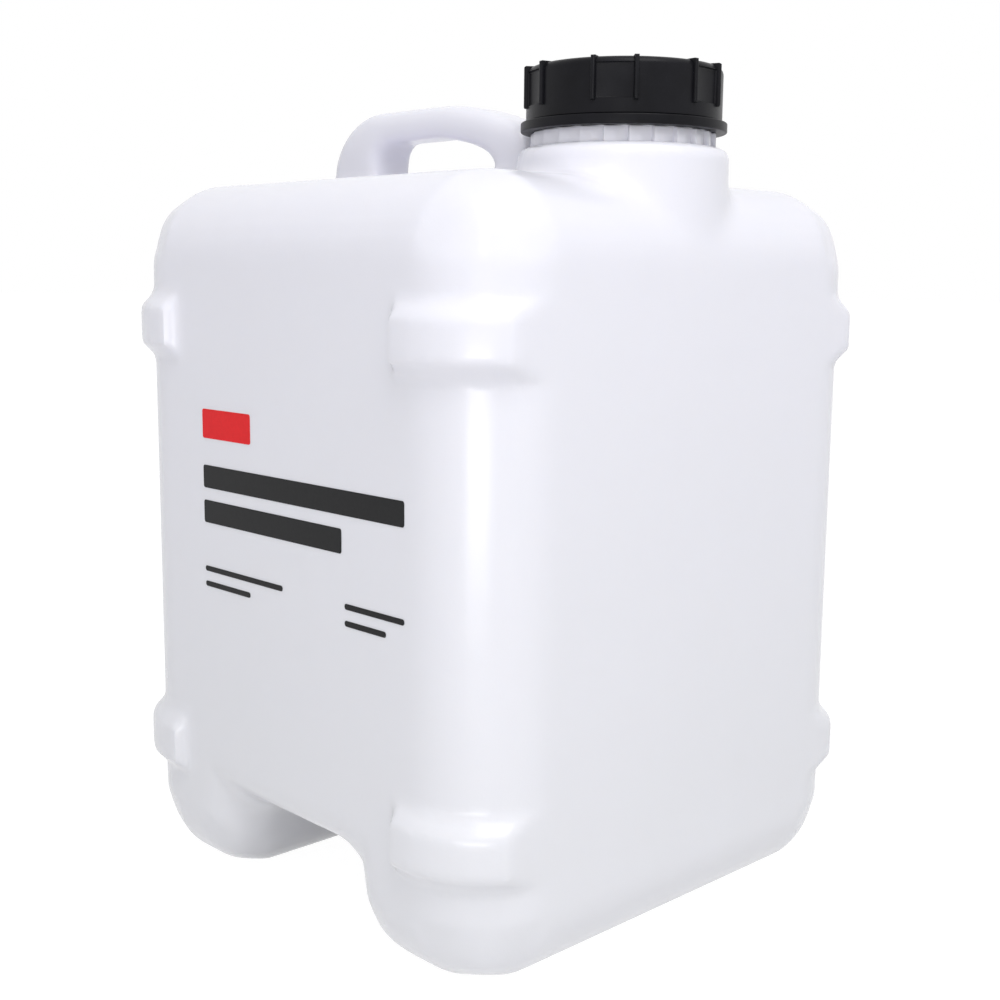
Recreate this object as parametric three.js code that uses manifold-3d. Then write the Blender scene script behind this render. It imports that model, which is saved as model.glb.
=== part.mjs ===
// Refill bottle for twenty litres of liquid soap: one blown body with a carrying handle, corner pads,
// two feet and a wide neck, closed by a ribbed screw cap over a sealing liner, with the cap's tamper band
// and the soap inside.
import * as THREE from "three";
import { mergeVertices } from "three/addons/utils/BufferGeometryUtils.js";
import Module from "manifold-3d";

const wasm = await Module();
wasm.setup();

// Millimetres. X runs along the front face towards the neck end, Y from front to back, Z up from the feet.
// Blown body
const bodyLength = 267;
const bodyDepth = 267;
const bodyHeight = 347;
const cornerRadius = 41;
const edgeRadius = 37;
const wall = 2;

// Tunnel that runs front to back between the feet
const tunnelHalfWidth = 46.5;
const tunnelHeight = 48;
const tunnelCornerRadius = 16;
const tunnelLipRadius = 25;
const footRadius = 30;

// Pads round the upright corners, flush with the two end faces
const padProud = 6.6;
const padLength = 50;
const padHeight = 31.5;
const lowerPadLevel = 52.5;
const upperPadDrop = 84;

// Handle in the mould's parting plane
const handleThickness = 28;
const handleRise = 42;
const handleEndInset = 15.5;
const handleShoulderLength = 40;
const handleShoulderDrop = 35.4;
const handleTailDrop = 10.6;
const handleTailLength = 15.8;
const gripHeight = 15.8;
const gripWeb = 1.8;
const endPostLength = 38.5;
const neckPostLength = 25.5;
const handHoleCorner = 13;

// Neck: a wide boss, and the finish that takes the cap
const neckInset = 49.5;
const bossStep = 8.2;
const bossRise = 14.5;
const bossEdgeRadius = 5;
const finishRadius = 40;
const finishHeight = 30;
const finishWall = 3;
const ratchetHeight = 6.5;
const ratchetDepth = 2.2;
const ratchetTeeth = 24;
const beadProud = 1.2;
const beadHeight = 1.6;

// Closure
const bandReach = 6.8;
const bandHeight = 4.3;
const bandWall = 1.8;
const threadRoom = 2;
const capWall = 2.4;
const capTop = 2.5;
const capEdgeRadius = 4;
const capRibProud = 1.6;
const capRibWidth = 2;
const capRibPairs = 6;
const capRibPairAngle = 24;
const capRibTurn = 6;
const capRibFoot = 5;
const linerThickness = 2;

// Contents
const headspace = 27;

const clearance = 0.3;
const cutOverrun = 0.2;
const rootDepth = 40;

// Fineness of round stretches
const arcDivisions = 4;
const roundSteps = 5;
const turnSteps = 48;

// Places that follow from the sizes
const padLevels = [lowerPadLevel, bodyHeight - upperPadDrop];
const soapLevel = bodyHeight - headspace;
const handleTop = bodyHeight + handleRise;
const handleEdgeRadius = (gripHeight - gripWeb) / 2;
const handleEndX = -bodyLength / 2 + handleEndInset;
const neckX = bodyLength / 2 - neckInset;
const bossRadius = finishRadius + bossStep;
const bossSideX = neckX - bossRadius;
const bossTop = bodyHeight + bossRise;
const mouthTop = bossTop + finishHeight;
const bandRadius = finishRadius + bandReach;
const bandBottom = bossTop + ratchetHeight + clearance;
const capBore = finishRadius + threadRoom;
const capRadius = capBore + capWall;
const capBottom = bandBottom + bandHeight + clearance;
const linerBottom = mouthTop + clearance;
const linerTop = linerBottom + linerThickness;
const capHollowTop = linerTop + clearance;
const capCrown = capHollowTop + capTop;

// A closed geometry as a solid, by its positions alone.
function solidOf(geometry) {
  const bare = new THREE.BufferGeometry();
  bare.setAttribute("position", geometry.getAttribute("position"));
  bare.setIndex(geometry.getIndex());
  const merged = mergeVertices(bare, 1e-4);
  const corners = merged.getIndex().array;
  const kept = [];
  for (let i = 0; i < corners.length; i += 3) {
    const [a, b, c] = corners.slice(i, i + 3);
    if (a !== b && b !== c && c !== a) kept.push(a, b, c);
  }
  return new wasm.Manifold(
    new wasm.Mesh({
      numProp: 3,
      vertProperties: merged.getAttribute("position").array,
      triVerts: new Uint32Array(kept),
    }),
  );
}

function meshOf(name, solid, material) {
  const { vertProperties, triVerts } = solid.getMesh();
  const geometry = new THREE.BufferGeometry();
  geometry.setAttribute("position", new THREE.BufferAttribute(vertProperties, 3));
  geometry.setIndex(new THREE.BufferAttribute(triVerts, 1));
  geometry.computeVertexNormals();
  const mesh = new THREE.Mesh(geometry, material);
  mesh.name = name;
  return mesh;
}

function boxSolid(x0, x1, y0, y1, z0, z1) {
  const box = new THREE.BoxGeometry(x1 - x0, y1 - y0, z1 - z0);
  box.translate((x0 + x1) / 2, (y0 + y1) / 2, (z0 + z1) / 2);
  return solidOf(box);
}

// A solid of revolution round the neck's axis, from [radius, height] pairs that start and end on it.
function turnedSolid(profile) {
  const points = profile.map(([radius, height]) => new THREE.Vector2(radius, height));
  const turned = new THREE.LatheGeometry(points, turnSteps);
  turned.rotateX(Math.PI / 2);
  turned.translate(neckX, 0, 0);
  return solidOf(turned);
}

function quarterRound(centreRadius, centreHeight, radius) {
  return Array.from({ length: roundSteps + 1 }, (_, step) => {
    const angle = (step / roundSteps) * (Math.PI / 2);
    return [centreRadius + radius * Math.cos(angle), centreHeight + radius * Math.sin(angle)];
  });
}

// An outline in X and Z run along Y, evenly to both sides of the parting plane. A positive edge rounds its
// two rims off inwards, and a negative one flares them.
function sweptAlongY(shape, width, edge, offset) {
  const rim = Math.abs(edge);
  const swept = new THREE.ExtrudeGeometry(shape, {
    depth: width - 2 * rim,
    bevelThickness: rim,
    bevelSize: edge,
    bevelOffset: offset,
    bevelSegments: roundSteps,
    curveSegments: arcDivisions,
  });
  swept.translate(0, 0, rim - width / 2);
  swept.rotateX(Math.PI / 2);
  return solidOf(swept);
}

// The blown skin's parts, each moved inwards by an inset, so that the same shapes give its outside, its
// inside and the space that the soap fills.
function bodyBlock(inset) {
  const x = bodyLength / 2;
  const y = bodyDepth / 2;
  const r = cornerRadius;
  const plan = new THREE.Shape();
  plan.moveTo(x, r - y);
  plan.absarc(x - r, y - r, r, 0, Math.PI / 2);
  plan.absarc(r - x, y - r, r, Math.PI / 2, Math.PI);
  plan.absarc(r - x, r - y, r, Math.PI, 1.5 * Math.PI);
  plan.absarc(x - r, r - y, r, 1.5 * Math.PI, 2 * Math.PI);
  const edge = edgeRadius - inset;
  const block = new THREE.ExtrudeGeometry(plan, {
    depth: bodyHeight - 2 * edgeRadius,
    bevelThickness: edge,
    bevelSize: edge,
    bevelOffset: -edgeRadius,
    bevelSegments: roundSteps + 1,
    curveSegments: arcDivisions,
  });
  block.translate(0, 0, edgeRadius);
  return solidOf(block);
}

function tunnelCut(inset) {
  const side = tunnelHalfWidth + tunnelLipRadius;
  const cornerX = tunnelHalfWidth - tunnelCornerRadius;
  const cornerZ = tunnelHeight - tunnelCornerRadius;
  const cornerR = tunnelCornerRadius + tunnelLipRadius;
  const footX = tunnelHalfWidth + footRadius;
  const footR = footRadius - tunnelLipRadius;
  const outside = bodyLength / 2 + tunnelLipRadius;
  const below = -2 * tunnelLipRadius;
  const mouth = new THREE.Shape();
  mouth.moveTo(-outside, below);
  mouth.lineTo(outside, below);
  mouth.lineTo(outside, tunnelLipRadius);
  mouth.absarc(footX, footRadius, footR, -Math.PI / 2, -Math.PI, true);
  mouth.lineTo(side, cornerZ);
  mouth.absarc(cornerX, cornerZ, cornerR, 0, Math.PI / 2);
  mouth.absarc(-cornerX, cornerZ, cornerR, Math.PI / 2, Math.PI);
  mouth.lineTo(-side, footRadius);
  mouth.absarc(-footX, footRadius, footR, 0, -Math.PI / 2, true);
  mouth.lineTo(-outside, tunnelLipRadius);
  const width = bodyDepth - 2 * inset + 2 * cutOverrun;
  return sweptAlongY(mouth, width, inset - tunnelLipRadius, 0);
}

// A chamfered strip round one corner of the neck end, on the front (side -1) or the back (side 1).
function padStrip(side, level, inset) {
  const x = bodyLength / 2;
  const y = bodyDepth / 2;
  const r = cornerRadius + padProud;
  const cornerX = x - cornerRadius;
  const cornerY = side * (y - cornerRadius);
  const plan = new THREE.Shape();
  plan.moveTo(0, 0);
  plan.lineTo(0, side * (y + padProud));
  plan.absarc(cornerX, cornerY, r, (side * Math.PI) / 2, 0, side > 0);
  plan.lineTo(x + padProud, 0);
  const pad = new THREE.ExtrudeGeometry(plan, {
    depth: padHeight - 2 * (padProud + inset),
    bevelThickness: padProud,
    bevelSize: padProud,
    bevelOffset: -padProud - inset,
    bevelSegments: 1,
    curveSegments: arcDivisions,
  });
  pad.translate(0, 0, level + padProud + inset);
  return pad;
}

function padBlocks(inset) {
  const solids = [];
  for (const level of padLevels)
    for (const side of [-1, 1])
      for (const turn of [0, Math.PI])
        solids.push(solidOf(padStrip(side, level, inset).rotateZ(turn)));
  const end = bodyLength / 2 - inset;
  const start = bodyLength / 2 - padLength + inset;
  const y = bodyDepth / 2 + padProud;
  const neckEnd = boxSolid(start, end, -y, y, 0, bodyHeight);
  const handleEnd = boxSolid(-end, -start, -y, y, 0, bodyHeight);
  return solids.reduce((all, solid) => all.add(solid)).intersect(neckEnd.add(handleEnd));
}

function handleBlock(inset) {
  const root = bodyHeight - rootDepth;
  const shoulderX = handleEndX + handleShoulderLength;
  const tailX = bossSideX - handleTailLength;
  const tailZ = handleTop - handleTailDrop;
  const holeX = handleEndX + endPostLength;
  const holeEndX = bossSideX - neckPostLength;
  const holeTop = handleTop - gripHeight;
  const holeFoot = bodyHeight - rootDepth / 2;
  const archX = (holeX + holeEndX) / 2;
  const outline = new THREE.Shape();
  outline.moveTo(handleEndX, root);
  outline.lineTo(handleEndX, handleTop - handleShoulderDrop);
  outline.absellipse(
    shoulderX,
    handleTop - handleShoulderDrop,
    handleShoulderLength,
    handleShoulderDrop,
    Math.PI,
    Math.PI / 2,
    true,
  );
  outline.lineTo(archX, handleTop);
  outline.quadraticCurveTo((archX + tailX) / 2, handleTop, tailX, tailZ);
  outline.quadraticCurveTo(bossSideX - bossEdgeRadius, tailZ, bossSideX, bossTop);
  outline.lineTo(neckX - finishRadius, bossTop - bossEdgeRadius);
  outline.lineTo(neckX - finishRadius, root);
  const hole = new THREE.Path();
  hole.moveTo(holeEndX, holeFoot);
  hole.lineTo(holeEndX, bodyHeight + gripHeight / 2);
  hole.quadraticCurveTo(holeEndX, holeTop - handleTailDrop / 2, archX, holeTop);
  hole.lineTo(holeX + handHoleCorner, holeTop);
  hole.quadraticCurveTo(holeX, holeTop, holeX, holeTop - handHoleCorner);
  hole.lineTo(holeX, holeFoot);
  outline.holes.push(hole);
  const edge = handleEdgeRadius - inset;
  return sweptAlongY(outline, handleThickness - 2 * inset, edge, -handleEdgeRadius);
}

function bossBlock(inset) {
  const radius = bossRadius - inset;
  const edge = bossEdgeRadius - inset;
  const top = bossTop - inset;
  return turnedSolid([
    [0, bodyHeight - rootDepth],
    [radius, bodyHeight - rootDepth],
    ...quarterRound(radius - edge, top - edge, edge),
    [0, top],
  ]);
}

function skin(inset) {
  return bodyBlock(inset)
    .add(padBlocks(inset))
    .subtract(tunnelCut(inset))
    .add(bossBlock(inset))
    .add(handleBlock(inset));
}

// Sawtooth ring that keeps the tamper band from turning back with the cap.
function ratchetRing() {
  const teeth = new THREE.Shape();
  for (let tooth = 0; tooth < ratchetTeeth; tooth++) {
    const start = (tooth / ratchetTeeth) * 2 * Math.PI;
    const end = ((tooth + 1) / ratchetTeeth) * 2 * Math.PI;
    const tip = finishRadius + ratchetDepth;
    if (tooth === 0) teeth.moveTo(tip, 0);
    else teeth.lineTo(tip * Math.cos(start), tip * Math.sin(start));
    teeth.lineTo(finishRadius * Math.cos(end), finishRadius * Math.sin(end));
  }
  const ring = new THREE.ExtrudeGeometry(teeth, {
    depth: ratchetHeight + bossEdgeRadius,
    bevelEnabled: false,
  });
  ring.translate(neckX, 0, bossTop - bossEdgeRadius);
  return solidOf(ring);
}

function finishTube() {
  const beadTop = capBottom + beadHeight;
  return turnedSolid([
    [0, bossTop - bossEdgeRadius],
    [finishRadius, bossTop - bossEdgeRadius],
    [finishRadius, capBottom],
    [finishRadius + beadProud, capBottom],
    [finishRadius, beadTop],
    [finishRadius, mouthTop],
    [0, mouthTop],
  ]);
}

function finishBore() {
  const radius = finishRadius - finishWall;
  return turnedSolid([
    [0, bossTop - 2 * bossEdgeRadius],
    [radius, bossTop - 2 * bossEdgeRadius],
    [radius, mouthTop + cutOverrun],
    [0, mouthTop + cutOverrun],
  ]);
}

function bottleSolid() {
  const outside = skin(0).add(finishTube()).add(ratchetRing());
  return outside.subtract(skin(wall).add(finishBore()));
}

function soapSolid() {
  const x = bodyLength;
  const below = boxSolid(-x, x, -bodyDepth, bodyDepth, -bodyHeight, soapLevel);
  return skin(wall + clearance).intersect(below);
}

// Ring of angle section: an outer wall, and a flange that rests on the ratchet ring.
function bandSolid() {
  const flangeTop = bandBottom + bandWall;
  const bandTop = bandBottom + bandHeight;
  const bore = finishRadius + clearance;
  const ring = [
    [bore, bandBottom],
    [bandRadius, bandBottom],
    [bandRadius, bandTop],
    [bandRadius - bandWall, bandTop],
    [bandRadius - bandWall, flangeTop],
    [bore, flangeTop],
    [bore, bandBottom],
  ];
  return turnedSolid(ring);
}

function capRibs() {
  const reach = capRadius + capRibProud;
  const foot = capBottom + capRibFoot;
  const rise = capCrown - capEdgeRadius - foot;
  const ribs = [];
  for (let pair = 0; pair < capRibPairs; pair++)
    for (const half of [-1, 1]) {
      const rib = new THREE.BoxGeometry(capWall + capRibProud, capRibWidth, rise);
      const angle = capRibTurn + (pair * 360) / capRibPairs + (half * capRibPairAngle) / 2;
      rib.translate(reach - (capWall + capRibProud) / 2, 0, foot + rise / 2);
      rib.rotateZ(THREE.MathUtils.degToRad(angle));
      rib.translate(neckX, 0, 0);
      ribs.push(solidOf(rib));
    }
  return ribs;
}

function capSolid() {
  const shell = turnedSolid([
    [0, capHollowTop],
    [capBore, capHollowTop],
    [capBore, capBottom],
    [capRadius, capBottom],
    ...quarterRound(capRadius - capEdgeRadius, capCrown - capEdgeRadius, capEdgeRadius),
    [0, capCrown],
  ]);
  return capRibs().reduce((cap, rib) => cap.add(rib), shell);
}

function linerSolid() {
  const radius = capBore - clearance;
  return turnedSolid([
    [0, linerBottom],
    [radius, linerBottom],
    [radius, linerTop],
    [0, linerTop],
  ]);
}

const naturalPlastic = new THREE.MeshStandardMaterial({ color: 0xe6e6ec, roughness: 0.42 });
const blackCapPlastic = new THREE.MeshStandardMaterial({ color: 0x1d1e22, roughness: 0.45 });
const blackBandPlastic = new THREE.MeshStandardMaterial({ color: 0x1a1b1f, roughness: 0.5 });
const linerFoam = new THREE.MeshStandardMaterial({ color: 0xf2f2f0, roughness: 0.8 });
const liquidSoap = new THREE.MeshStandardMaterial({ color: 0xf1eee6, roughness: 0.2 });

const refillBottle = new THREE.Group();
refillBottle.add(
  meshOf("bottle", bottleSolid(), naturalPlastic),
  meshOf("soap", soapSolid(), liquidSoap),
  meshOf("tamper_band", bandSolid(), blackBandPlastic),
  meshOf("cap", capSolid(), blackCapPlastic),
  meshOf("cap_liner", linerSolid(), linerFoam),
);

export default refillBottle;
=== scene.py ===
import math

import bpy
from mathutils import Matrix, Vector


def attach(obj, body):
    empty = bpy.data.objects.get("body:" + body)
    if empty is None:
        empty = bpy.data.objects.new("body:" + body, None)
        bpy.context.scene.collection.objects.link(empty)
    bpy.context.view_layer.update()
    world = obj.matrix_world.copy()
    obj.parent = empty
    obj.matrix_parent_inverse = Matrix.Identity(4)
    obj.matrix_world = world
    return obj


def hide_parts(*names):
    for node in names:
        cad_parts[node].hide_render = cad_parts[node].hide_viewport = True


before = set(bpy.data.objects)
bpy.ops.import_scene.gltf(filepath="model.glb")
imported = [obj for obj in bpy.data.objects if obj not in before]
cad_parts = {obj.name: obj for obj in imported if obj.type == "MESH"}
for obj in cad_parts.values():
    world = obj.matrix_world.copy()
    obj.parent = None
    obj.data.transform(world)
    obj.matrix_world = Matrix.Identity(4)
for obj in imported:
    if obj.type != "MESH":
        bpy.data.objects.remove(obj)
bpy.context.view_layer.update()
mm = 0.001


def deselectAll():
    if bpy.context.mode != "OBJECT":
        bpy.ops.object.mode_set(mode="OBJECT")
    bpy.ops.object.select_all(action="DESELECT")


def pick(obj):
    deselectAll()
    obj.select_set(True)
    bpy.context.view_layer.objects.active = obj


def freeze(obj):
    pick(obj)
    bpy.ops.object.transform_apply(location=True, rotation=True, scale=True)


def addBlock(name, low, high):
    deselectAll()
    bpy.ops.mesh.primitive_cube_add(size=1)
    obj = bpy.context.object
    obj.name = name
    obj.location = [(a + b) / 2 * mm for a, b in zip(low, high)]
    obj.scale = [(b - a) * mm for a, b in zip(low, high)]
    freeze(obj)
    return obj


def applyModifier(obj, kind, **settings):
    pick(obj)
    modifier = obj.modifiers.new(kind.lower(), kind)
    for key, value in settings.items():
        setattr(modifier, key, value)
    bpy.ops.object.modifier_apply(modifier=modifier.name)


def combine(obj, other, operation):
    applyModifier(obj, "BOOLEAN", operation=operation, object=other, solver="EXACT")
    bpy.data.objects.remove(other, do_unlink=True)


def joinInto(obj, others):
    pick(obj)
    for other in others:
        other.select_set(True)
    bpy.ops.object.join()


# selects the edges whose two ends pass the test, in edit mode, and rounds them
def roundEdges(obj, test, radius, segments):
    pick(obj)
    bpy.ops.object.mode_set(mode="EDIT")
    bpy.ops.mesh.select_mode(type="EDGE")
    bpy.ops.mesh.select_all(action="DESELECT")
    bpy.ops.object.mode_set(mode="OBJECT")
    points = obj.data.vertices
    for edge in obj.data.edges:
        edge.select = test(points[edge.vertices[0]].co / mm, points[edge.vertices[1]].co / mm)
    bpy.ops.object.mode_set(mode="EDIT")
    bpy.ops.mesh.bevel(offset=radius * mm, segments=segments, affect="EDGES", clamp_overlap=False)
    bpy.ops.object.mode_set(mode="OBJECT")


# turns a profile of [radius, height] pairs round the neck's axis
def spinProfile(name, profile, steps, closed=False):
    deselectAll()
    mesh = bpy.data.meshes.new(name)
    count = len(profile)
    links = [(i, i + 1) for i in range(count - 1)]
    if closed:
        links.append((count - 1, 0))
    mesh.from_pydata([((r + neck["axisX"]) * mm, 0, z * mm) for r, z in profile], links, [])
    obj = bpy.data.objects.new(name, mesh)
    bpy.context.collection.objects.link(obj)
    pick(obj)
    bpy.ops.object.mode_set(mode="EDIT")
    bpy.ops.mesh.select_all(action="SELECT")
    bpy.ops.mesh.spin(steps=steps, angle=2 * math.pi, center=(neck["axisX"] * mm, 0, 0), axis=(0, 0, 1))
    bpy.ops.mesh.select_all(action="SELECT")
    bpy.ops.mesh.remove_doubles(threshold=0.005 * mm)
    bpy.ops.mesh.normals_make_consistent(inside=False)
    bpy.ops.object.mode_set(mode="OBJECT")
    return obj


def arcPoints(centreR, centreZ, radius, fromDeg, toDeg, steps):
    angles = [math.radians(fromDeg + (toDeg - fromDeg) * i / steps) for i in range(steps + 1)]
    return [(centreR + radius * math.cos(a), centreZ + radius * math.sin(a)) for a in angles]


# copies one finished detail round the neck's axis, each copy with its own mesh
def copyRound(source, degrees):
    copies = []
    for angle in degrees:
        copy = source.copy()
        copy.data = source.data.copy()
        bpy.context.collection.objects.link(copy)
        turn = Matrix.Translation((neck["axisX"] * mm, 0, 0)) @ Matrix.Rotation(math.radians(angle), 4, "Z")
        copy.data.transform(turn)
        copies.append(copy)
    bpy.data.objects.remove(source, do_unlink=True)
    return copies


# cuts many-sided faces into triangles and drops the slivers that the boolean cuts leave
def cleanFaces(obj):
    pick(obj)
    bpy.ops.object.mode_set(mode="EDIT")
    bpy.ops.mesh.select_all(action="SELECT")
    bpy.ops.mesh.remove_doubles(threshold=0.003 * mm)
    bpy.ops.mesh.quads_convert_to_tris(quad_method="BEAUTY", ngon_method="BEAUTY")
    bpy.ops.mesh.dissolve_degenerate(threshold=0.003 * mm)
    bpy.ops.object.mode_set(mode="OBJECT")


def smoothShade(obj, degrees):
    pick(obj)
    bpy.ops.object.shade_smooth_by_angle(angle=math.radians(degrees))


def settle(obj, body, slotName, *nodes):
    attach(obj, body)
    if nodes:
        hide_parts(*nodes)


# materials

def newMaterial(name):
    material = bpy.data.materials.new(name)
    material.use_nodes = True
    tree = material.node_tree
    return material, tree.nodes, tree.links, tree.nodes["Principled BSDF"]


def addNode(nodes, kind, **inputs):
    node = nodes.new(kind)
    for key, value in inputs.items():
        node.inputs[key].default_value = value
    return node


# ends of the bottle's tone ramp, which mostly carries painted light (darker low, lighter high) plus some random
# cloudy tone
plasticLook = {
    "low": (0.768, 0.77, 0.8, 1),
    "high": (0.845, 0.838, 0.91, 1),
    "roughLow": 0.2,
    "roughHigh": 0.3,
}


def naturalPlastic():
    material, nodes, links, shader = newMaterial("naturalPlastic")
    place = nodes.new("ShaderNodeTexCoord")
    cloud = addNode(nodes, "ShaderNodeTexNoise", Scale=14.0, Detail=3.0)
    grain = addNode(nodes, "ShaderNodeTexNoise", Scale=900.0, Detail=2.0)
    ripple = addNode(nodes, "ShaderNodeTexNoise", Scale=26.0, Detail=1.0)
    for texture in (cloud, grain, ripple):
        links.new(place.outputs["Object"], texture.inputs["Vector"])
    axes = nodes.new("ShaderNodeSeparateXYZ")
    links.new(place.outputs["Object"], axes.inputs["Vector"])
    paintedTopLight = nodes.new("ShaderNodeMapRange")  # painted light: greyer low and lighter towards the top, as light falls from above
    paintedTopLight.inputs["From Min"].default_value = 0.06
    paintedTopLight.inputs["From Max"].default_value = 0.34
    paintedTopLight.inputs["To Max"].default_value = 0.8
    links.new(axes.outputs["Z"], paintedTopLight.inputs["Value"])
    # random cloudy tone added to the painted light from above
    blend = nodes.new("ShaderNodeMath")
    blend.operation = "MULTIPLY_ADD"
    blend.inputs[1].default_value = 0.2
    links.new(cloud.outputs["Fac"], blend.inputs[0])
    links.new(paintedTopLight.outputs["Result"], blend.inputs[2])
    tone = nodes.new("ShaderNodeValToRGB")
    tone.color_ramp.elements[0].color = plasticLook["low"]
    tone.color_ramp.elements[1].color = plasticLook["high"]
    links.new(blend.outputs[0], tone.inputs["Fac"])
    links.new(tone.outputs["Color"], shader.inputs["Base Color"])
    sheen = nodes.new("ShaderNodeMapRange")
    sheen.inputs["To Min"].default_value = plasticLook["roughLow"]
    sheen.inputs["To Max"].default_value = plasticLook["roughHigh"]
    links.new(cloud.outputs["Fac"], sheen.inputs["Value"])
    links.new(sheen.outputs["Result"], shader.inputs["Roughness"])
    wavy = addNode(nodes, "ShaderNodeBump", Strength=0.08, Distance=0.004)
    fine = addNode(nodes, "ShaderNodeBump", Strength=0.06, Distance=0.0004)
    links.new(ripple.outputs["Fac"], wavy.inputs["Height"])
    links.new(grain.outputs["Fac"], fine.inputs["Height"])
    links.new(wavy.outputs["Normal"], fine.inputs["Normal"])
    links.new(fine.outputs["Normal"], shader.inputs["Normal"])
    shader.inputs["Subsurface Weight"].default_value = 0.4
    shader.inputs["Subsurface Radius"].default_value = (1.0, 0.95, 0.9)
    shader.inputs["Subsurface Scale"].default_value = 0.003
    shader.inputs["IOR"].default_value = 1.5
    return material


def darkPlastic(name, colour, rough, scale):
    material, nodes, links, shader = newMaterial(name)
    place = nodes.new("ShaderNodeTexCoord")
    wear = addNode(nodes, "ShaderNodeTexNoise", Scale=scale, Detail=4.0)
    grain = addNode(nodes, "ShaderNodeTexNoise", Scale=1600.0, Detail=2.0)
    links.new(place.outputs["Object"], wear.inputs["Vector"])
    links.new(place.outputs["Object"], grain.inputs["Vector"])
    tone = nodes.new("ShaderNodeValToRGB")
    tone.color_ramp.elements[0].position = 0.3
    tone.color_ramp.elements[0].color = tuple(0.75 * c for c in colour[:3]) + (1,)
    tone.color_ramp.elements[1].position = 0.72
    tone.color_ramp.elements[1].color = tuple(1.35 * c for c in colour[:3]) + (1,)
    links.new(wear.outputs["Fac"], tone.inputs["Fac"])
    links.new(tone.outputs["Color"], shader.inputs["Base Color"])
    sheen = nodes.new("ShaderNodeMapRange")
    sheen.inputs["To Min"].default_value = rough - 0.06
    sheen.inputs["To Max"].default_value = rough + 0.1
    links.new(wear.outputs["Fac"], sheen.inputs["Value"])
    links.new(sheen.outputs["Result"], shader.inputs["Roughness"])
    fine = addNode(nodes, "ShaderNodeBump", Strength=0.12, Distance=0.0003)
    links.new(grain.outputs["Fac"], fine.inputs["Height"])
    links.new(fine.outputs["Normal"], shader.inputs["Normal"])
    shader.inputs["Specular IOR Level"].default_value = 0.12
    return material


def softMatter(name, colour, rough, scale, depth):
    material, nodes, links, shader = newMaterial(name)
    place = nodes.new("ShaderNodeTexCoord")
    cells = addNode(nodes, "ShaderNodeTexNoise", Scale=scale, Detail=3.0)
    links.new(place.outputs["Object"], cells.inputs["Vector"])
    tone = nodes.new("ShaderNodeValToRGB")
    tone.color_ramp.elements[0].color = tuple(0.9 * c for c in colour[:3]) + (1,)
    tone.color_ramp.elements[1].color = colour
    links.new(cells.outputs["Fac"], tone.inputs["Fac"])
    links.new(tone.outputs["Color"], shader.inputs["Base Color"])
    bump = addNode(nodes, "ShaderNodeBump", Strength=0.3, Distance=depth)
    links.new(cells.outputs["Fac"], bump.inputs["Height"])
    links.new(bump.outputs["Normal"], shader.inputs["Normal"])
    shader.inputs["Roughness"].default_value = rough
    return material


def printInk(name, colour):
    material, nodes, links, shader = newMaterial(name)
    place = nodes.new("ShaderNodeTexCoord")
    screen = addNode(nodes, "ShaderNodeTexNoise", Scale=700.0, Detail=2.0)
    links.new(place.outputs["Object"], screen.inputs["Vector"])
    tone = nodes.new("ShaderNodeValToRGB")
    tone.color_ramp.elements[0].color = colour
    tone.color_ramp.elements[1].color = tuple(min(1, 1.15 * c + 0.004) for c in colour[:3]) + (1,)
    links.new(screen.outputs["Fac"], tone.inputs["Fac"])
    links.new(tone.outputs["Color"], shader.inputs["Base Color"])
    shader.inputs["Roughness"].default_value = 0.45
    shader.inputs["Specular IOR Level"].default_value = 0.15
    return material


bottlePlastic = naturalPlastic()
capPlastic = darkPlastic("blackCapPlastic", (0.0075, 0.0075, 0.0095), 0.32, 60.0)
bandPlastic = darkPlastic("blackBandPlastic", (0.007, 0.007, 0.009), 0.36, 75.0)
linerFoam = softMatter("linerFoam", (0.86, 0.86, 0.84, 1), 0.8, 1400.0, 0.0003)
soapLiquid = softMatter("soapLiquid", (0.88, 0.86, 0.8, 1), 0.15, 30.0, 0.0005)
print("materials ready")

# neck and closure heights, in millimetres from the feet
neck = {
    "axisX": 84.0,
    "bossRadius": 48.2,
    "bossTop": 361.5,
    "finishRadius": 40.0,
    "boreRadius": 37.0,
    "mouthTop": 391.5,
    "ratchetTip": 42.2,
    "ratchetTop": 368.0,
    "teeth": 24,
    "threadPitch": 6.0,
    "threadTip": 41.6,
    "threadStart": 376.5,
    "beadLevel": 372.9,
    "beadProud": 1.2,
    "finishRoot": 350.0,
    "ratchetRoot": 352.0,
}

# blown body

body = {
    "length": 267.0,
    "depth": 267.0,
    "height": 347.0,
    "cornerRadius": 41.0,
    "edgeRadius": 37.0,
    "tunnelHalf": 46.5,
    "tunnelDraft": 5.0,
    "tunnelHeight": 50.5,
    "tunnelCorner": 23.0,
    "tunnelLip": 26.0,
    "ceilingLip": 13.0,
    "footRadius": 23.0,
    "wall": 3.0,
    "padProud": 6.6,
    "padLength": 50.0,
    "padHeight": 31.5,
    "padLevels": (52.5, 263.0),
    "voxel": 2.45,
}


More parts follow.
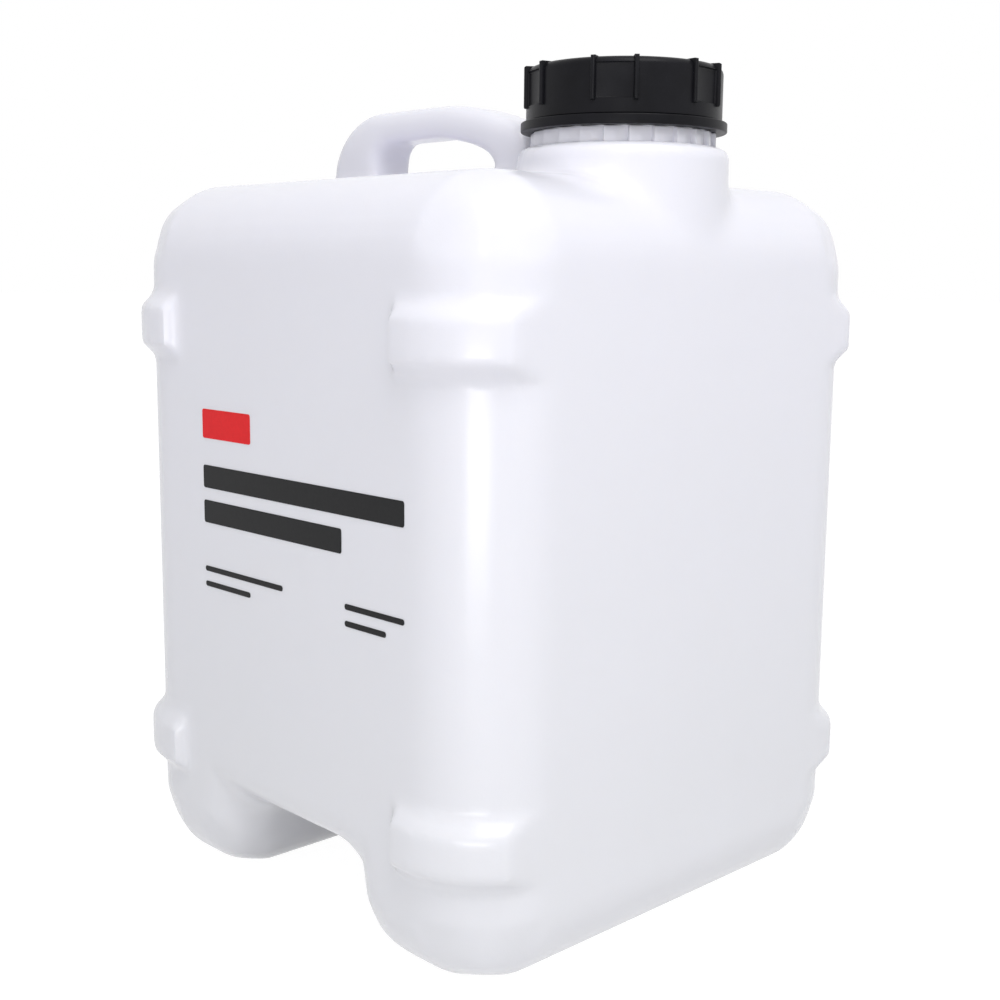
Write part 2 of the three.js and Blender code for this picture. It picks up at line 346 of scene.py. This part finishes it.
def bodyForm(name, inset, segments):
    x, y = body["length"] / 2 - inset, body["depth"] / 2 - inset
    half, high = body["tunnelHalf"] + inset, body["tunnelHeight"] + inset
    form = addBlock(name, (-x, -y, inset), (x, y, body["height"] - inset))
    channel = addBlock("channel", (-half, -2 * y, inset - high), (half, 2 * y, high))
    draft = body["tunnelDraft"]  # the tunnel widens towards the feet
    for vertex in channel.data.vertices:
        widen = -draft if vertex.co.z > 0 else 3 * draft
        vertex.co.x += widen * mm if vertex.co.x > 0 else -widen * mm
    combine(form, channel, "DIFFERENCE")
    weights = form.data.attributes.new("bevel_weight_edge", "FLOAT", "EDGE")
    widest = body["cornerRadius"] - inset
    points = form.data.vertices
    for edge in form.data.edges:
        a, b = (points[i].co / mm for i in edge.vertices)
        middle, run = (a + b) / 2, b - a
        if abs(middle.x) < half + draft + 1 and middle.z < high + 1:
            radius = body["tunnelLip" if abs(run.z) > 1 else "ceilingLip"] - inset
            if abs(run.y) > 1:  # along the tunnel: hollow at the ceiling, round at the foot
                atFoot = middle.z < inset + 1
                radius = body["footRadius"] - inset if atFoot else body["tunnelCorner"] + inset
        elif abs(run.z) > 1:
            radius = widest
        else:
            radius = body["edgeRadius"] - inset
        weights.data[edge.index].value = radius / widest
    applyModifier(form, "BEVEL", limit_method="WEIGHT", width=widest * mm, segments=segments,
                  use_clamp_overlap=False)
    return form


# a chamfered belt round the body, of which only the two ends are kept
def padBelt(level):
    proud = body["padProud"]
    x, y = body["length"] / 2 + proud, body["depth"] / 2 + proud
    top = level + body["padHeight"]
    belt = addBlock("padBelt", (-x, -y, level), (x, y, top))
    roundEdges(belt, lambda a, b: abs(a.z - b.z) > 1, body["cornerRadius"] + proud, 14)
    roundEdges(belt, lambda a, b: abs(a.z - b.z) < 0.1, proud, 1)
    inner = body["length"] / 2 - body["padLength"]
    ends = addBlock("padEnd", (inner, -2 * y, level - 5), (body["length"] / 2, 2 * y, top + 5))
    farEnd = addBlock("padEndFar", (-body["length"] / 2, -2 * y, level - 5), (-inner, 2 * y, top + 5))
    joinInto(ends, [farEnd])
    combine(belt, ends, "INTERSECT")
    return belt


handle = {
    "thickness": 28.0,
    "edgeRadius": 7.0,
    "endX": -118.0,
    "top": 389.0,
    "shoulder": (40.0, 35.4),
    "tail": (20.0, 378.4),
    "rootZ": 325.0,
    "holeX": (-79.5, 10.3),
    "holeTop": 373.2,
    "holeFloor": 338.0,
    "flare": 7.0,
}


def handleForm():
    ex, top = handle["endX"], handle["top"]
    sx, sz = handle["shoulder"]
    tx, tz = handle["tail"]
    h0, h1 = handle["holeX"]
    archX = (h0 + h1) / 2
    outline = [(ex, handle["rootZ"]), (ex, top - sz)]
    for i in range(1, 17):
        a = math.pi - i / 16 * math.pi / 2
        outline.append((ex + sx + sx * math.cos(a), top - sz + sz * math.sin(a)))
    for i in range(0, 13):
        t = i / 12
        outline.append((archX + (tx - archX) * t, top - (top - tz) * t * t))
    outline += [(26, 376.0), (31, 371.0), (36, neck["bossTop"] - 1), (46, neck["bossTop"] - 6),
                (46, handle["rootZ"])]
    hole = [(h1, handle["holeFloor"]), (h1, 354.5)]
    for i in range(1, 17):
        t = i / 16
        hole.append((h1 + (archX - h1) * t * t,
                     354.5 * (1 - t) ** 2 + 2 * 368 * t * (1 - t) + handle["holeTop"] * t * t))
    for i in range(0, 9):
        t = i / 8
        hole.append((h0 + 13 * (1 - t) ** 2, handle["holeTop"] - 13 * t * t))
    hole.append((h0, handle["holeFloor"]))
    curve = bpy.data.curves.new("handleForm", "CURVE")
    curve.dimensions = "2D"
    curve.fill_mode = "BOTH"
    for loop in (outline, hole):
        spline = curve.splines.new("POLY")
        spline.points.add(len(loop) - 1)
        for point, (px, pz) in zip(spline.points, loop):
            point.co = (px * mm, pz * mm, 0, 1)
        spline.use_cyclic_u = True
    edge = handle["edgeRadius"]
    curve.bevel_depth = edge * mm
    curve.bevel_resolution = 5
    curve.extrude = (handle["thickness"] / 2 - edge) * mm
    curve.offset = -edge * mm
    obj = bpy.data.objects.new("handleForm", curve)
    bpy.context.collection.objects.link(obj)
    obj.rotation_euler = (math.pi / 2, 0, 0)
    pick(obj)
    bpy.ops.object.convert(target="MESH")
    obj = bpy.context.object
    freeze(obj)
    bpy.ops.object.mode_set(mode="EDIT")
    bpy.ops.mesh.select_all(action="SELECT")
    bpy.ops.mesh.remove_doubles(threshold=0.01 * mm)
    bpy.ops.mesh.normals_make_consistent(inside=False)
    bpy.ops.object.mode_set(mode="OBJECT")
    return obj


# a chamfered collar under a post of the handle, smoothed later into its root
def postRoot(x0, x1):
    grow, y, z = handle["flare"], handle["thickness"] / 2, body["height"]
    root = addBlock("postRoot", (x0 - grow, -y - grow, z - 12), (x1 + grow, y + grow, z + grow))
    roundEdges(root, lambda a, b: a.z > z + 1 and b.z > z + 1, grow - 0.2, 1)
    return root


def bossForm():
    r, top = neck["bossRadius"], neck["bossTop"]
    profile = [(0, 300), (r, 300), *arcPoints(r - 5, top - 5, 5, 0, 90, 8), (0, top)]
    return spinProfile("bossForm", profile, 96)


def finishForm():
    r, top = neck["finishRadius"], neck["mouthTop"]
    root, bead, proud = neck["finishRoot"], neck["beadLevel"], neck["beadProud"]
    profile = [(0, root), (r, root), (r, bead), (r + proud, bead + 0.2), (r + proud, bead + 0.7), (r, bead + 2.3),
               *arcPoints(r - 1, top - 1, 1, 0, 90, 4), (0, top)]
    return spinProfile("finishForm", profile, 96)


def ratchetForm():
    teeth, low, high = neck["teeth"], neck["ratchetRoot"], neck["ratchetTop"]
    deselectAll()
    bpy.ops.mesh.primitive_cylinder_add(vertices=3 * teeth, radius=1, depth=1)
    ring = bpy.context.object
    step = 2 * math.pi / teeth
    for vertex in ring.data.vertices:
        angle = math.atan2(vertex.co.y, vertex.co.x) % (2 * math.pi)
        spot = round(angle / step * 3) % (3 * teeth)
        tooth, part = divmod(spot, 3)
        radius = (neck["ratchetTip"], neck["ratchetTip"] - 0.9, neck["finishRadius"] - 0.2)[part]
        turn = (tooth + (0.0, 0.45, 0.93)[part]) * step
        vertex.co = ((neck["axisX"] + radius * math.cos(turn)) * mm, radius * math.sin(turn) * mm,
                     (high if vertex.co.z > 0 else low) * mm)
    roundEdges(ring, lambda a, b: a.z > high - 1 and b.z > high - 1, 0.5, 2)
    return ring


def threadForm():
    r, tip, pitch = neck["finishRadius"], neck["threadTip"], neck["threadPitch"]
    deselectAll()
    mesh = bpy.data.meshes.new("threadForm")
    start = neck["threadStart"]
    section = [(r - 1.5, start - 1.9), (r - 0.1, start - 1.7), (tip, start - 0.5),
               (tip, start + 0.3), (r - 0.1, start + 1.1), (r - 1.5, start + 1.3)]
    mesh.from_pydata([(sx * mm, 0, sz * mm) for sx, sz in section], [], [tuple(range(len(section)))])
    obj = bpy.data.objects.new("threadForm", mesh)
    bpy.context.collection.objects.link(obj)
    pick(obj)
    applyModifier(obj, "SCREW", axis="Z", screw_offset=pitch * 2 * mm, angle=4 * math.pi,
                  steps=120, render_steps=120, use_merge_vertices=False)
    obj.location = (neck["axisX"] * mm, 0, 0)
    freeze(obj)
    bpy.ops.object.mode_set(mode="EDIT")
    bpy.ops.mesh.select_all(action="SELECT")
    bpy.ops.mesh.remove_doubles(threshold=0.005 * mm)
    bpy.ops.mesh.fill_holes(sides=0)
    bpy.ops.mesh.normals_make_consistent(inside=False)
    bpy.ops.object.mode_set(mode="OBJECT")
    return obj


# how far a point is from the corner between a standing form and the body, as a weight for extra smoothing
def rootWeight(point):
    x, y, z = point / mm
    bossGap = abs(math.hypot(x - neck["axisX"], y) - neck["bossRadius"])
    near = 0.0
    if 300 < z < 356:
        near = max(near, 1 - bossGap / 14)
    if 338 < z < 362 and x < 45 and abs(y) < 28:
        near = max(near, 1 - abs(z - 348) / 13)
    return max(0.0, min(1.0, near))


def makeBottle():
    skin = bodyForm("bottle", 0, 14)
    parts = [padBelt(level) for level in body["padLevels"]]
    parts.append(handleForm())
    parts.append(postRoot(handle["endX"], handle["holeX"][0]))
    parts.append(postRoot(handle["holeX"][1], 38))
    parts.append(bossForm())
    joinInto(skin, parts)
    applyModifier(skin, "REMESH", mode="VOXEL", voxel_size=body["voxel"] * mm, use_smooth_shade=True)
    applyModifier(skin, "SMOOTH", factor=0.5, iterations=3)
    group = skin.vertex_groups.new(name="roots")
    for vertex in skin.data.vertices:
        weight = rootWeight(vertex.co)
        if weight > 0:
            group.add([vertex.index], weight, "REPLACE")
    applyModifier(skin, "SMOOTH", factor=0.5, iterations=40, vertex_group="roots")
    skin.vertex_groups.clear()
    print("bottle skin", len(skin.data.polygons), "faces")
    for form in (finishForm(), ratchetForm(), threadForm()):
        combine(skin, form, "UNION")
    hollow = bodyForm("hollow", body["wall"], 6)
    r, top = neck["boreRadius"], neck["mouthTop"]
    under = neck["bossTop"] - body["wall"]
    wide = neck["bossRadius"] - body["wall"]
    bore = spinProfile("bore", [(0, 305), (wide, 305), (wide, under - 3), (wide - 3, under), (r, under),
                                (r, top + 2), (0, top + 2)], 96)
    combine(hollow, bore, "UNION")
    combine(skin, hollow, "DIFFERENCE")
    cleanFaces(skin)
    print("bottle", len(skin.data.polygons), "faces")
    skin.data.materials.clear()
    skin.data.materials.append(bottlePlastic)
    smoothShade(skin, 35)
    settle(skin, "bottle", "natural_plastic", "bottle")
    return skin


makeBottle()

# cap, with pairs of ribs and a flat panel sunk between the two of each pair

cap = {
    "bottom": 372.9,
    "hollowTop": 394.1,
    "crown": 396.6,
    "radius": 44.4,
    "bore": 42.0,
    "edge": 3.2,
    "pairs": 6,
    "pairAngle": 24.0,
    "turn": 6.0,
    "ribProud": 1.6,
    "ribWidth": 2.0,
    "ledge": 6.2,
    "panelDepth": 1.5,
}


def makeCap():
    low, top, r = cap["bottom"], cap["crown"], cap["radius"]
    edge = cap["edge"]
    bore, roof = cap["bore"], cap["hollowTop"]
    profile = [(0, roof), (bore - 0.6, roof), (bore, roof - 0.6), (bore, low), (r - 0.3, low), (r, low + 0.3),
               *arcPoints(r - edge, top - edge, edge, 0, 82, 10),
               (r - 9, top), (r - 11, top - 0.35), (0, top - 0.35)]
    shell = spinProfile("cap", profile, 144)
    half = r * math.sin(math.radians(cap["pairAngle"] / 2)) - cap["ribWidth"] / 2
    panel = addBlock("panel", (r - cap["panelDepth"], -half, low + cap["ledge"]), (r + 8, half, top - 2.6))
    roundEdges(panel, lambda a, b: a.x < r and b.x < r, 0.7, 3)
    turns = [cap["turn"] + pair * 360 / cap["pairs"] for pair in range(cap["pairs"])]
    panels = copyRound(panel, turns)
    joinInto(panels[0], panels[1:])
    combine(shell, panels[0], "DIFFERENCE")
    rib = addBlock("rib", (r - 5, -cap["ribWidth"] / 2, low + cap["ledge"] - 0.8),
                   (r + cap["ribProud"], cap["ribWidth"] / 2, top + 0.25))
    roundEdges(rib, lambda a, b: a.x > r and b.x > r, 0.75, 3)
    side = cap["pairAngle"] / 2
    ribs = copyRound(rib, [turn + way * side for turn in turns for way in (-1, 1)])
    joinInto(ribs[0], ribs[1:])
    combine(shell, ribs[0], "UNION")
    shell.data.materials.clear()
    shell.data.materials.append(capPlastic)
    smoothShade(shell, 32)
    settle(shell, "cap", "black_cap_plastic", "cap")
    print("cap", len(shell.data.polygons), "faces")
    return shell


makeCap()

band = {"bottom": 368.3, "height": 4.3, "radius": 46.8, "wall": 1.8, "bore": 40.3, "round": 0.6}


def makeBand():
    low, r, edge = band["bottom"], band["radius"], band["round"]
    top, wall = low + band["height"], band["wall"]
    profile = [(band["bore"], low), *arcPoints(r - edge, low + edge, edge, -90, 0, 4),
               *arcPoints(r - edge, top - edge, edge, 0, 90, 4), (r - wall, top), (r - wall, low + wall),
               (band["bore"], low + wall)]
    ring = spinProfile("tamperBand", profile, 144, closed=True)
    ring.data.materials.append(bandPlastic)
    smoothShade(ring, 32)
    settle(ring, "bottle", "black_band_plastic", "tamper_band")


makeBand()

liner = {"bottom": 391.8, "thickness": 2.0, "radius": 41.7}


def makeLiner():
    low, r = liner["bottom"], liner["radius"]
    top = low + liner["thickness"]
    profile = [(0, low), *arcPoints(r - 0.5, low + 0.5, 0.5, -90, 0, 3),
               *arcPoints(r - 0.5, top - 0.5, 0.5, 0, 90, 3), (0, top)]
    disc = spinProfile("capLiner", profile, 96)
    disc.data.materials.append(linerFoam)
    smoothShade(disc, 32)
    settle(disc, "liner", "liner_foam", "cap_liner")


makeLiner()
print("closure ready")

# plain print on the front face: bars as (left, right, low, high, ink)

printBars = {
    "depth": 0.15,
    "corner": 1.2,
    "bars": (
        (-62, -22, 226, 240, "red"),
        (-62, 88, 202, 213, "black"),
        (-62, 46, 185, 196, "black"),
        (-62, 2, 161, 163.6, "black"),
        (-62, -24, 153.5, 156.1, "black"),
        (48, 88, 161, 163.6, "black"),
        (48, 76, 153.5, 156.1, "black"),
    ),
}


def makePrint():
    inks = {
        "red": printInk("redInk", (0.72, 0.012, 0.016, 1)),
        "black": printInk("blackInk", (0.01, 0.01, 0.011, 1)),
    }
    face = -body["depth"] / 2
    for ink, material in inks.items():
        made = []
        for left, right, low, high, colour in printBars["bars"]:
            if colour != ink:
                continue
            bar = addBlock("bar", (left, face - printBars["depth"], low), (right, face + 0.4, high))
            corner = min(printBars["corner"], (high - low) / 2.2)
            roundEdges(bar, lambda a, b: abs(a.y - b.y) > 0.1, corner, 5)
            made.append(bar)
        joinInto(made[0], made[1:])
        made[0].name = ink + "Print"
        made[0].data.materials.clear()
        made[0].data.materials.append(material)
        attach(made[0], "bottle")


makePrint()

# soap, filled to its level inside the wall

soap = {"level": 320.0, "gap": 0.6}


def makeSoap():
    inset = body["wall"] + soap["gap"]
    fill = bodyForm("soap", inset, 6)
    above = addBlock("air", (-200, -200, soap["level"]), (200, 200, 500))
    combine(fill, above, "DIFFERENCE")
    fill.data.materials.clear()
    fill.data.materials.append(soapLiquid)
    smoothShade(fill, 35)
    settle(fill, "bottle", "liquid_soap", "soap")


makeSoap()

# floor, light and camera

studio = {
    "eye": (523.9, -498.9, 303.0),
    "azimuth": 46.11,
    "pitch": 8.92,
    "roll": 0.55,
    "lens": 50.93,
    "keyPower": 16.5,
    "cornerPower": 0.8,
    "lowPower": 2.4,
    "worldStrength": 0.58,
    "floorGlow": 1.2,
    "glowShare": 0.8,
    "floorColour": (0.75, 0.75, 0.75, 1),
    "floorSize": 40,
}


def viewRays(nodes, links):
    path = nodes.new("ShaderNodeLightPath")
    first = nodes.new("ShaderNodeMath")
    first.operation = "MAXIMUM"
    both = nodes.new("ShaderNodeMath")
    both.operation = "MAXIMUM"
    links.new(path.outputs["Is Camera Ray"], first.inputs[0])
    links.new(path.outputs["Is Glossy Ray"], first.inputs[1])
    links.new(first.outputs[0], both.inputs[0])
    links.new(path.outputs["Is Transmission Ray"], both.inputs[1])
    return both.outputs[0]


def makeFloor():
    deselectAll()
    bpy.ops.mesh.primitive_plane_add(size=studio["floorSize"], location=(0, 0, -0.0002))
    floor = bpy.context.object
    floor.name = "floor"
    material, nodes, links, shader = newMaterial("paleFloor")
    shader.inputs["Base Color"].default_value = studio["floorColour"]
    shader.inputs["Roughness"].default_value = 0.9
    glow = addNode(nodes, "ShaderNodeEmission", Strength=studio["floorGlow"])
    mix = nodes.new("ShaderNodeMixShader")
    share = nodes.new("ShaderNodeMath")
    share.operation = "MULTIPLY"
    share.inputs[1].default_value = studio["glowShare"]
    links.new(viewRays(nodes, links), share.inputs[0])
    links.new(share.outputs[0], mix.inputs[0])
    links.new(shader.outputs[0], mix.inputs[1])
    links.new(glow.outputs[0], mix.inputs[2])
    links.new(mix.outputs[0], nodes["Material Output"].inputs["Surface"])
    floor.data.materials.append(material)


def makeWorld():
    world = bpy.data.worlds.new("studioWorld")
    bpy.context.scene.world = world
    world.use_nodes = True
    nodes, links = world.node_tree.nodes, world.node_tree.links
    ambient = nodes["Background"]
    ambient.inputs["Color"].default_value = (0.97, 0.98, 1.0, 1)
    ambient.inputs["Strength"].default_value = studio["worldStrength"]
    white = nodes.new("ShaderNodeBackground")
    white.inputs["Color"].default_value = (1, 1, 1, 1)
    mix = nodes.new("ShaderNodeMixShader")
    links.new(viewRays(nodes, links), mix.inputs[0])
    links.new(ambient.outputs[0], mix.inputs[1])
    links.new(white.outputs[0], mix.inputs[2])
    links.new(mix.outputs[0], nodes["World Output"].inputs["Surface"])


def addLamp(name, place, target, size, power):
    light = bpy.data.lights.new(name, "AREA")
    light.shape = "RECTANGLE"
    light.size, light.size_y = size
    light.energy = power
    lamp = bpy.data.objects.new(name, light)
    bpy.context.collection.objects.link(lamp)
    lamp.location = place
    lamp.rotation_euler = (Vector(target) - Vector(place)).to_track_quat("-Z", "Y").to_euler()


def makeCamera():
    camera = bpy.data.objects.new("camera", bpy.data.cameras.new("camera"))
    bpy.context.collection.objects.link(camera)
    camera.data.sensor_width = 36
    camera.data.lens = studio["lens"]
    a, p = math.radians(studio["azimuth"]), math.radians(studio["pitch"])
    ahead = Vector((-math.sin(a) * math.cos(p), math.cos(a) * math.cos(p), -math.sin(p)))
    right = ahead.cross(Vector((0, 0, 1))).normalized()
    up = right.cross(ahead)
    lean = math.radians(studio["roll"])
    across = right * math.cos(lean) + up * math.sin(lean)
    upward = up * math.cos(lean) - right * math.sin(lean)
    turn = Matrix((across, upward, -ahead)).transposed().to_4x4()
    camera.matrix_world = Matrix.Translation(Vector(studio["eye"]) * mm) @ turn
    bpy.context.scene.camera = camera


makeFloor()
makeWorld()
addLamp("keyLamp", (0.95, -0.35, 1.75), (0.05, 0, 0.25), (1.1, 1.1), studio["keyPower"])
addLamp("cornerLamp", (0.75, -0.8, 0.85), (0.1, -0.1, 0.25), (0.12, 0.5), studio["cornerPower"])
addLamp("lowLamp", (0.75, -0.95, 0.08), (-0.04, -0.1, 0.05), (0.5, 0.2), studio["lowPower"])
makeCamera()
bpy.context.scene.view_settings.view_transform = "Standard"
print("studio ready")
